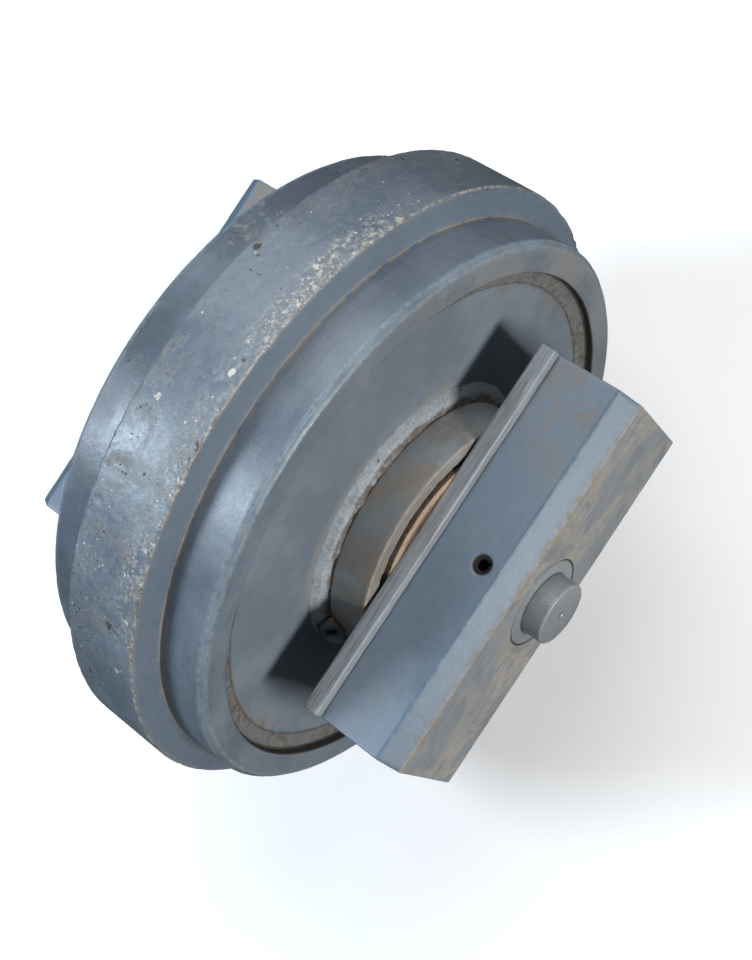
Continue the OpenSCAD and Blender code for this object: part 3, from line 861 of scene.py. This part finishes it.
def wheel_hub(material, cutters):
    corners = both_sides([
        (BUSH_R, CAVITY_Y, 0, HIDDEN_STEP),
        (BUSH_R, BUSH_SEAT_Y, 0, HIDDEN_STEP),
        (BUSH_FLANGE_R + 2 * MM, BUSH_SEAT_Y, 0, HIDDEN_STEP),
        (BUSH_FLANGE_R + 2 * MM, POCKET_Y, 0.5 * MM, 3 * MM),
        (SEAL_R, POCKET_Y, 0.5 * MM, 3 * MM),
        (SEAL_R, MOUTH_Y, 0.8 * MM, 2.5 * MM),
        (MOUTH_R, MOUTH_Y, 1.0 * MM, 2.0 * MM),
        (MOUTH_R, HUB_Y, 1.6 * MM, 1.5 * MM),
        (HUB_R, HUB_Y, 1.6 * MM, 1.8 * MM),
        (HUB_R, WEB_Y, 0, HIDDEN_STEP),
    ])
    corners = [(CAVITY_R, CAVITY_Y, 0, HIDDEN_STEP), *corners, (CAVITY_R, -CAVITY_Y, 0, HIDDEN_STEP)]
    piece = lathe("hub", corners, 480, material)
    cut(piece, cutters)
    points, _ = surface(piece)
    radius, _ = polar(points)
    marks = edge_marks(points, corners)
    # grime here is painted shade: the groove at the weld toe and the inside of the hub's mouth go dark
    outside = ramp(radius, HUB_R - 4 * MM, HUB_R - 1 * MM)
    weld_line = np.exp(-abs(abs(points[:, 1]) - WEB_Y - HUB_WELD_RISE) / (2.5 * MM))
    inside = 1 - ramp(radius, MOUTH_R - 1 * MM, MOUTH_R + 3 * MM)
    marks["grime_and_shade"] = np.maximum(outside * weld_line, inside * 0.9)
    marks["ring"] = ramp(abs(points[:, 1]), HUB_Y - 1.2 * MM, HUB_Y - 0.4 * MM)
    height = 0.3 * MM * rough(points, 30 * MM, 51) * outside + nicks(points, marks, 0.9 * MM, 9 * MM, 53)
    weather(piece, height, marks)
    return place(piece, "wheel", "hub_paint", "wheel_hub")


def hub_weld(side, material, cutters):
    """Fillet bead whose ripples lean and whose width and rise wander round the hub."""
    corners = [
        (HUB_R - 0.5 * MM, side * (WEB_Y - 0.5 * MM), 0, 3 * MM),
        (HUB_R + HUB_WELD, side * (WEB_Y - 0.5 * MM), 0, 1 * MM),
        (HUB_R + HUB_WELD, side * (WEB_Y + 0.3 * MM), 0.2 * MM, 0.9 * MM),
        (HUB_R + 0.62 * HUB_WELD, side * (WEB_Y + 0.62 * HUB_WELD_RISE + 0.8 * MM), 6 * MM, 0.9 * MM),
        (HUB_R + 0.3 * MM, side * (WEB_Y + HUB_WELD_RISE), 0.2 * MM, 1 * MM),
        (HUB_R - 0.5 * MM, side * (WEB_Y + HUB_WELD_RISE), 0, 3 * MM),
    ]
    piece = lathe(f"{SIDES[side]}_hub_bead", corners, 900, material)
    points, _ = surface(piece)
    radius, angle = polar(points)
    rim = points / radius[:, None] * (HUB_R, 0, HUB_R)
    width = 0.88 + 0.12 * noise(rim, 60 * MM, 65) + 0.07 * rough(rim, 14 * MM, 66)
    rise = 1 + 0.12 * noise(rim, 45 * MM, 67) + 0.16 * rough(rim, 12 * MM, 68)
    stretch = np.where(radius > HUB_R, (HUB_R + (radius - HUB_R) * width) / radius, 1)
    points[:, ::2] *= stretch[:, None]
    above = abs(points[:, 1]) - WEB_Y
    points[:, 1] = side * (WEB_Y + np.where(above > 0, above * rise, above))
    move_points(piece, points)
    if cutters:
        cut(piece, cutters)
    points, _ = surface(piece)
    radius, angle = polar(points)
    out = (radius - HUB_R) / HUB_WELD
    up = (abs(points[:, 1]) - WEB_Y) / HUB_WELD_RISE
    face = ramp(out + up, 0.6, 1.0)
    wander = 5 * MM * noise(points, 35 * MM, 61)
    phase = np.radians(angle) * HUB_R + wander + 2.5 * MM * (out - up) ** 2
    ripple = 1 - abs(np.sin(math.pi * phase / (4.0 * MM)))
    height = face * (0.55 * MM * rough(points, 11 * MM, 63) - 0.35 * MM * ripple ** 2)
    height -= face * 1.4 * MM * ramp(rough(points, 9 * MM, 69), 0.45, 0.8)
    toe = ramp(up, 0.70, 1.0)
    marks = {"wear": face * 0, "grime_and_shade": np.maximum(toe, ripple ** 3 * 0.3)}
    weather(piece, height, marks)
    return place(piece, "wheel", "weld_paint", f"{SIDES[side]}_hub_weld")


def rim_weld(side, material):
    """Corroded bead that fills the groove round the web disc and climbs up the rim's bore."""
    proud = RIM_WELD_TOP - WEB_Y
    corners = [
        (RIM_IN_R - RIM_WELD - 0.5 * MM, side * (WEB_Y - 0.5 * MM), 0, 3 * MM),
        (RIM_IN_R + 0.3 * MM, side * RIM_WELD_Y, 0, 3 * MM),
        (RIM_IN_R + 0.3 * MM, side * RIM_WELD_TOP, 0.2 * MM, 0.9 * MM),
        (RIM_IN_R - 0.3 * RIM_WELD, side * (WEB_Y + 0.4 * proud), 2.5 * MM, 0.9 * MM),
        (RIM_IN_R - RIM_WELD - 0.5 * MM, side * (WEB_Y + 0.3 * MM), 0.2 * MM, 0.9 * MM),
    ]
    piece = lathe(f"{SIDES[side]}_rim_bead", corners, 900, material)
    points, _ = surface(piece)
    radius, angle = polar(points)
    front = ramp(abs(points[:, 1]) - WEB_Y, -1.0 * MM, 0.2 * MM)
    phase = np.radians(angle) * RIM_IN_R + 6 * MM * noise(points, 40 * MM, 75)
    ripple = 1 - abs(np.sin(math.pi * phase / (5.0 * MM)))
    height = front * (0.8 * MM * rough(points, 7 * MM, 71) + 0.5 * MM * noise(points, 50 * MM, 73))
    height -= front * 0.35 * MM * ripple ** 2
    # edge darkens the bead towards the rim's bore almost to black as painted shade, and its toe on the disc less
    edge = ramp(radius, RIM_IN_R - 3.5 * MM, RIM_IN_R - 0.5 * MM)
    edge = np.maximum(edge, 0.6 * ramp(RIM_IN_R - RIM_WELD + 2 * MM - radius, 0, 2 * MM))
    weather(piece, height, {"wear": front * 0, "grime_and_shade": edge})
    return place(piece, "wheel", "weld_paint", f"{SIDES[side]}_rim_weld")


# ---------------------------------------------------------------- the carrier

def seal_housing(side, material):
    corners = [
        (SHAFT_R, side * PLATE_Y, 0, HIDDEN_STEP),
        (SHAFT_R, side * SPIGOT_Y, 0, 3 * MM),
        (SPIGOT_R, side * SPIGOT_Y, 0.5 * MM, HIDDEN_STEP),
        (SPIGOT_R, side * HOUSING_FLOOR_Y, 0, HIDDEN_STEP),
        (SEAL_R, side * HOUSING_FLOOR_Y, 0, HIDDEN_STEP),
        (SEAL_R, side * HOUSING_Y, 0.5 * MM, 2 * MM),
        (HOUSING_R, side * HOUSING_Y, 1.5 * MM, 1.5 * MM),
        (HOUSING_R, side * PLATE_Y, 0, HIDDEN_STEP),
    ]
    piece = lathe(f"{SIDES[side]}_housing", corners, 360, material)
    points, _ = surface(piece)
    marks = edge_marks(points, corners, wear=0.9 * MM)
    marks["wear"] *= polar(points)[0] > SEAL_R + 5 * MM
    marks["grime_and_shade"] *= 0.5
    weather(piece, 0.25 * MM * rough(points, 8 * MM, 81), marks)
    return place(piece, "carrier", "housing_paint", f"{SIDES[side]}_seal_housing")


def idler_shaft(material, cutters):
    half = [
        (CENTRE_HOLE_R, STUB_Y - 3 * CENTRE_HOLE_R, 0, 3 * MM),
        (CENTRE_HOLE_R, STUB_Y - 2 * MM, 0, 1 * MM),
        (2 * CENTRE_HOLE_R, STUB_Y, 0.4 * MM, 2 * MM),
        (STUB_R, STUB_Y, 2.0 * MM, 1.5 * MM),
        (STUB_R, FACE_Y - 0.5 * MM, 0.6 * MM, 1.5 * MM),
        (SHAFT_R, FACE_Y - 0.5 * MM, 1.4 * MM, 2 * MM),
    ]
    corners = both_sides(half, HIDDEN_STEP)
    piece = lathe("shaft", corners, 256, material, closed=False)
    cut(piece, cutters)
    points, _ = surface(piece)
    marks = edge_marks(points, corners, wear=1.6 * MM, grime_and_shade=2 * MM)
    radius, _ = polar(points)
    end = ramp(abs(points[:, 1]), FACE_Y - 2 * MM, FACE_Y - 1 * MM)
    # Painted shade: dark in the gap at the shaft's edge and in the centre hole
    marks["grime_and_shade"] = np.maximum(marks["grime_and_shade"] * 0.8, np.exp(-abs(radius - SHAFT_R) / (1.2 * MM)))
    marks["grime_and_shade"] = np.maximum(marks["grime_and_shade"] * end, np.exp(-(radius / (3.2 * MM)) ** 2))
    marks["wear"] *= (radius > 0.8 * STUB_R) & (radius < STUB_R + 1 * MM)
    weather(piece, 0.08 * MM * rough(points, 14 * MM, 85), marks)
    return place(piece, "carrier", "shaft_steel", "idler_shaft")


def bar_marks(points, planes, reach):
    """How near points of a bar are to an edge between two of its faces, given as (normal, distance)."""
    depths = np.sort([abs(distance - points @ np.array(normal)) for normal, distance in planes], axis=0)
    return np.exp(-depths[1] / reach)


def bracket(side, material, cutters):
    low, high = BRACKET_Z
    corners = [
        (side * BLOCK_Y, high, 1.2 * MM, 2.4 * MM),
        (side * (FACE_Y - BEVEL), high, 1.4 * MM, 2.2 * MM),
        (side * FACE_Y, high - BEVEL, 1.6 * MM, 2.4 * MM),
        (side * FACE_Y, low + BEVEL, 1.6 * MM, 2.2 * MM),
        (side * (FACE_Y - BEVEL), low, 1.4 * MM, 2.6 * MM),
        (side * BLOCK_Y, low, 1.2 * MM, 2.6 * MM),
    ]
    piece = bar(f"{SIDES[side]}_slide_block", corners, BRACKET_L, 1.6 * MM, material, 2.4 * MM)
    cut(piece, cutters)
    points, _ = surface(piece)
    radius, _ = polar(points)
    slope = math.sqrt(0.5)
    planes = [
        ((0, 0, 1), high), ((0, 0, -1), -low), ((0, side, 0), FACE_Y), ((0, side, 0), BLOCK_Y),
        ((0, side * slope, slope), slope * (FACE_Y + high - BEVEL)),
        ((0, side * slope, -slope), slope * (FACE_Y - low - BEVEL)),
        ((1, 0, 0), BRACKET_L / 2), ((-1, 0, 0), BRACKET_L / 2),
    ]
    marks = {"wear": bar_marks(points, planes, 1.4 * MM)}
    outer = ramp(side * points[:, 1], FACE_Y - 2 * MM, FACE_Y - 0.5 * MM)
    marks["dusty"] = outer
    slopes = [slope * (side * points[:, 1] + z - (FACE_Y + edge_z)) + slope * BEVEL
              for z, edge_z in ((points[:, 2], high), (-points[:, 2], -low))]
    # bevel marks the chamfers, whose tint in bracket_paint is painted light
    marks["bevel"] = (1 - outer) * ramp(np.maximum(*slopes), -1.2 * MM, -0.3 * MM)
    seam = np.hypot(side * points[:, 1] - FACE_Y, points[:, 2] - high + BEVEL)
    marks["seam"] = np.exp(-seam / (2.5 * MM))
    marks["rusty"] = ramp(points[:, 0], 0.15 * BRACKET_L, 0.45 * BRACKET_L) * (1 - outer) * (1 - marks["bevel"])
    marks["faded"] = ramp(points[:, 0], -0.35 * BRACKET_L, 0.10 * BRACKET_L) * (1 - outer)
    # grime here is painted shade on the walls of the shaft bore and pin hole
    pin_gap = np.hypot(points[:, 0], points[:, 1] - side * PIN_Y)
    in_hole = np.minimum(radius - SHAFT_R, pin_gap - PIN_HOLE_R)
    marks["grime_and_shade"] = np.exp(-np.maximum(in_hole, 0) / (1.0 * MM))
    marks["wear"] *= 1 - marks["grime_and_shade"]
    height = 0.15 * MM * rough(points, 40 * MM, 91) + nicks(points, marks, 0.2 * MM, 11 * MM, 93)
    height -= 0.3 * MM * ramp(rough(points, 9 * MM, 95), 0.6, 0.85)
    weather(piece, height, marks)
    return place(piece, "carrier", "bracket_paint", f"{SIDES[side]}_bracket")


def guide_plate(side, material, cutters):
    low, high = GUIDE_Z
    corners = [
        (side * PLATE_Y, high, 1.0 * MM, 1.3 * MM),
        (side * BLOCK_Y, high, 1.9 * MM, 2.4 * MM),
        (side * BLOCK_Y, low, 1.9 * MM, 1.3 * MM),
        (side * PLATE_Y, low, 1.0 * MM, 2.8 * MM),
    ]
    piece = bar(f"{SIDES[side]}_guide", corners, BRACKET_L, 1.2 * MM, material, 2.2 * MM)
    cut(piece, cutters)
    points, _ = surface(piece)
    x, y, z = points.T
    planes = [
        ((0, 0, 1), high), ((0, 0, -1), -low), ((0, side, 0), BLOCK_Y), ((0, side, 0), PLATE_Y),
        ((1, 0, 0), BRACKET_L / 2), ((-1, 0, 0), BRACKET_L / 2),
    ]
    marks = {"wear": bar_marks(points, planes, 1.3 * MM)}
    # Outer edges get the full pale line: partly wear, partly painted highlight on the side that faces the light
    marks["wear"] *= np.where(side * y > (PLATE_Y + BLOCK_Y) / 2, 1.0, 0.4)
    marks["rusty"] = ramp(x, 0.2 * BRACKET_L, 0.45 * BRACKET_L)
    on_edge = ramp(np.maximum(z - high, low - z), -3 * MM, -1 * MM)
    lines = rough(points * (0.05, 1, 1), 2.4 * MM, 97)
    height = 0.22 * MM * lines * on_edge + 0.12 * MM * rough(points, 30 * MM, 99)
    height += nicks(points, marks, 0.4 * MM, 12 * MM, 101)
    weather(piece, height, marks)
    return place(piece, "carrier", "guide_paint", f"{SIDES[side]}_guide_plate")


def lock_pin(side, material):
    """Rolled pin with a slot along it, open towards the same way as the CAD one."""
    low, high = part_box(f"{SIDES[side]}_lock_pin")
    radius = (high.x - low.x) / 2
    inner = 0.62 * radius
    slot = math.asin(1.5 * MM / radius)
    facing = math.radians(PIN_SLOT) * -1 if side < 0 else math.pi - math.radians(PIN_SLOT) * -1
    turns = facing + np.linspace(slot, 2 * math.pi - slot, 49)
    length = high.z - low.z
    lip = 0.8 * MM
    rings = [(0, lip), (0.3 * lip, 0.45 * lip), (lip, 0.1 * lip), (2 * lip, 0)]
    heights = np.linspace(2 * lip, length - 2 * lip, 40)[1:-1]
    rings += [(h, 0) for h in heights] + [(length - h, cut_in) for h, cut_in in reversed(rings)]
    loops = []
    for up, inset in rings:
        outer_edge = (radius - inset) * np.exp(1j * turns)
        inner_edge = (inner + 0.5 * inset) * np.exp(1j * turns[::-1])
        flat = np.concatenate([outer_edge, inner_edge])
        loops.append(np.stack([flat.real, flat.imag + side * PIN_Y, np.full(len(flat), low.z + up)], 1))
    size = 2 * len(turns)
    ring = np.arange(len(rings) - 1)[:, None] * size
    along = np.arange(size)
    following = (along + 1) % size
    quads = np.stack([ring + along, ring + following, ring + size + following, ring + size + along], 2)
    faces = quads.reshape(-1, 4).tolist()
    last = (len(rings) - 1) * size
    for k in range(len(turns) - 1):
        cap = [k, size - 1 - k, size - 2 - k, k + 1]
        faces += [cap, [last + c for c in reversed(cap)]]
    piece = make_object(f"{SIDES[side]}_spring_pin", np.concatenate(loops), faces, material)
    points, _ = surface(piece)
    # The pin's bore is painted dark as shade
    bore = np.hypot(points[:, 0], points[:, 1] - side * PIN_Y) < 0.9 * radius
    weather(piece, 0.04 * MM * rough(points, 5 * MM, 103), {"wear": ~bore, "grime_and_shade": bore})
    return place(piece, "carrier", "pin_steel", f"{SIDES[side]}_lock_pin")


# ---------------------------------------------------------------- building it

SIDES = {-1: "right", 1: "left"}
PIN_Y = sum(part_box("left_lock_pin"), Vector()).y / 2
PIN_SLOT = 54
CENTRE_HOLE_R = 2.2 * MM
BRACKET_Z = (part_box("left_bracket")[0].z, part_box("left_bracket")[1].z)
BRACKET_L = 2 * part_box("left_bracket")[1].x
GUIDE_Z = (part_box("left_guide_plate")[0].z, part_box("left_guide_plate")[1].z)
FLANGE_TOP_Y = 37 * MM
CHIP = (86, -28 * MM)
CAVITY_R = 70 * MM
CAVITY_Y = 28 * MM
BUSH_FLANGE_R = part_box("left_bush")[1].x
BUSH_END_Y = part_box("left_bush")[1].y
BUSH_SEAT_Y = BUSH_END_Y - 5 * MM
POCKET_Y = BUSH_SEAT_Y - 4.3 * MM
MOUTH_Y = POCKET_Y + 14 * MM
SPIGOT_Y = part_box("left_seal_housing")[0].y
SPIGOT_R = BUSH_FLANGE_R - 2 * MM
HOUSING_Y = MOUTH_Y + 3 * MM
HOUSING_FLOOR_Y = PLATE_Y - 5.5 * MM
BUSH_R = SHAFT_R + 5 * MM

# Cutters: the shaft's bore with bevelled ends, the pin holes, and the spot face under the oil plug
no_finish = bpy.data.materials.new("cutter")


def shaft_bore(side):
    gap = 0.05 * MM
    corners = [
        (SHAFT_R + gap, side * (PLATE_Y - 5 * MM), 0, HIDDEN_STEP),
        (SHAFT_R + gap, side * (FACE_Y - 1.3 * MM), 0, HIDDEN_STEP),
        (SHAFT_R + gap + 2.3 * MM, side * (FACE_Y + 1 * MM), 0, HIDDEN_STEP),
    ]
    return lathe("bore", corners, 160, no_finish, closed=False)


def pin_hole(side, radius, flare):
    low, high = BRACKET_Z
    corners = [
        (radius + flare + 1 * MM, low - 1 * MM, 0, 1),
        (radius, low + flare, 0, 1),
        (radius, high - flare, 0, 1),
        (radius + flare + 1 * MM, high + 1 * MM, 0, 1),
    ]
    cutter = lathe("hole", corners, 64, no_finish, closed=False)
    cutter.rotation_euler.x = math.pi / 2
    cutter.location.y = side * PIN_Y
    return cutter


def plug_recess():
    low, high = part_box("oil_plug_washer")
    centre = (low + high) / 2
    out = Vector((centre.x, 0, centre.z)).normalized()
    axis = (out + Vector((0, -1, 0))).normalized()
    corners = [(12.5 * MM, -1 * MM, 0, 1), (12.5 * MM, 22 * MM, 0, 1)]
    cutter = lathe("recess", corners, 64, no_finish, closed=False)
    cutter.rotation_mode = "QUATERNION"
    cutter.rotation_quaternion = Vector((0, 1, 0)).rotation_difference(axis)
    cutter.location = centre
    return cutter


bores = {side: shaft_bore(side) for side in SIDES}
block_holes = {side: pin_hole(side, PIN_HOLE_R, 1.2 * MM) for side in SIDES}
recess = plug_recess()
bpy.context.view_layer.update()

tread_rim(rim_steel())
centre_flange(flange_steel())
wheel_hub(hub_steel(), [recess])
idler_shaft(shaft_steel(), list(block_holes.values()))
web_paint = web_steel()
weld_paint = weld_steel()
rim_weld_scale = corroded_weld()
bracket_paint = bracket_steel()
guide_paint = guide_steel()
housing_paint = rusted_steel()
pin_finish = pin_steel()
for side in SIDES:
    at_plug = [recess] if side < 0 else []
    web_disc(side, web_paint, at_plug)
    hub_weld(side, weld_paint, at_plug)
    rim_weld(side, rim_weld_scale)
    seal_housing(side, housing_paint)
    bracket(side, bracket_paint, [bores[side], block_holes[side]])
    guide_plate(side, guide_paint, [bores[side]])
    lock_pin(side, pin_finish)
for cutter in (*bores.values(), *block_holes.values(), recess):
    bpy.data.objects.remove(cutter)

CAD_FINISHES = {
    "oil_plug": ("pin_steel", plug_steel()),
    "oil_plug_washer": ("copper_washer", bare_metal("copper_washer", (0.45, 0.20, 0.10), (0.75, 0.38, 0.20), 0.3)),
    "bush": ("bush_bronze", bare_metal("bush_bronze", (0.40, 0.24, 0.08), (0.68, 0.46, 0.18), 0.25)),
    "seal_ring": ("seal_iron", bare_metal("seal_iron", (0.16, 0.16, 0.17), (0.35, 0.35, 0.36), 0.2)),
    "toric": ("seal_rubber", rubber()),
    "oring": ("seal_rubber", None),
}
CAD_FINISHES["oring"] = CAD_FINISHES["toric"]
for name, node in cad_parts.items():
    for ending, (slot, material) in CAD_FINISHES.items():
        if name.endswith(ending) and not node.hide_render:
            node.data.materials.clear()
            node.data.materials.append(material)


# ---------------------------------------------------------------- floor, light and camera

def studio_finish():
    """Pale matt paint that glows a little, more so far from the middle, so that no view has a dark backdrop."""
    f = Finish("studio", 0.9)
    f.colour = f.mix(f.noise(0.5, 4, 0.5), (0.80, 0.80, 0.80), (0.85, 0.85, 0.85))
    split = f.nodes.new("ShaderNodeSeparateXYZ")
    f.set(split.inputs[0], f.coords)
    x, y, _ = split.outputs
    away = f.math("SQRT", f.plus(f.times(x, x), f.times(y, y)))
    f.set(f.shader.inputs["Emission Color"], (1.0, 1.0, 1.0))
    f.set(f.shader.inputs["Emission Strength"], f.plus(0.30, f.times(f.ramp(away, 1.5, 7.0), 0.55)))
    return f.done()


def make_studio(radius=14.0, around=96):
    """Floor that curves up into a dome. It lights nothing: the lamps and the world do."""
    floor_z = cad_box[0][2] - 0.6 * MM
    rings = [(r, floor_z) for r in np.linspace(0.05, radius, 40)]
    rings += [(radius * math.cos(a), floor_z + radius * math.sin(a)) for a in np.linspace(0.04, 1.54, 40)]
    turn = np.linspace(0, 2 * math.pi, around, endpoint=False)
    points = [(r * math.cos(t), r * math.sin(t), z) for r, z in rings for t in turn]
    faces = [tuple(range(around))]
    for k in range(len(rings) - 1):
        for i in range(around):
            j = (i + 1) % around
            faces.append((k * around + i, (k + 1) * around + i, (k + 1) * around + j, k * around + j))
    mesh = bpy.data.meshes.new("studio")
    mesh.from_pydata(points, [], faces)
    mesh.materials.append(studio_finish())
    mesh.shade_smooth()
    made = bpy.data.objects.new("studio", mesh)
    bpy.context.scene.collection.objects.link(made)
    made.visible_diffuse = False
    made.visible_glossy = False
    made.visible_shadow = False


def area_light(name, direction, distance, size, power, colour):
    light = bpy.data.lights.new(name, "AREA")
    light.shape = "DISK"
    light.size = size
    light.energy = power
    light.color = colour
    made = bpy.data.objects.new(name, light)
    way = Vector(direction).normalized()
    made.location = way * distance
    made.rotation_mode = "QUATERNION"
    made.rotation_quaternion = way.to_track_quat("Z", "Y")
    made.visible_camera = False
    bpy.context.scene.collection.objects.link(made)


def make_world(strength):
    world = bpy.data.worlds.new("studio")
    world.use_nodes = True
    background = world.node_tree.nodes["Background"]
    background.inputs["Color"].default_value = (0.86, 0.93, 1.0, 1)
    background.inputs["Strength"].default_value = strength
    bpy.context.scene.world = world


def make_camera(azimuth, elevation, roll, distance, aim, lens):
    data = bpy.data.cameras.new("camera")
    data.lens = lens
    made = bpy.data.objects.new("camera", data)
    a, e = math.radians(azimuth), math.radians(elevation)
    back = Vector((math.sin(a) * math.cos(e), -math.cos(a) * math.cos(e), math.sin(e)))
    made.location = Vector(aim) + back * distance
    made.rotation_mode = "QUATERNION"
    level = (-back).to_track_quat("-Z", "Y")
    made.rotation_quaternion = level @ Quaternion((0, 0, 1), math.radians(roll))
    bpy.context.scene.collection.objects.link(made)
    bpy.context.scene.camera = made


make_studio()
make_world(0.09)
area_light("key", (0.03, -0.965, 0.26), 3.2, 0.8, 76, (1.0, 0.98, 0.95))
area_light("sky", (-0.42, 0.53, 0.73), 3.0, 0.9, 63, (0.75, 0.885, 1.0))
area_light("overhead", (0.50, 0.15, 0.85), 3.0, 2.4, 50, (0.94, 0.97, 1.0))
make_camera(2.1, 63.57, -58.55, 1.475, (0.0076, -0.0211, -0.0103), 61.4)
bpy.context.scene.view_settings.view_transform = "Standard"
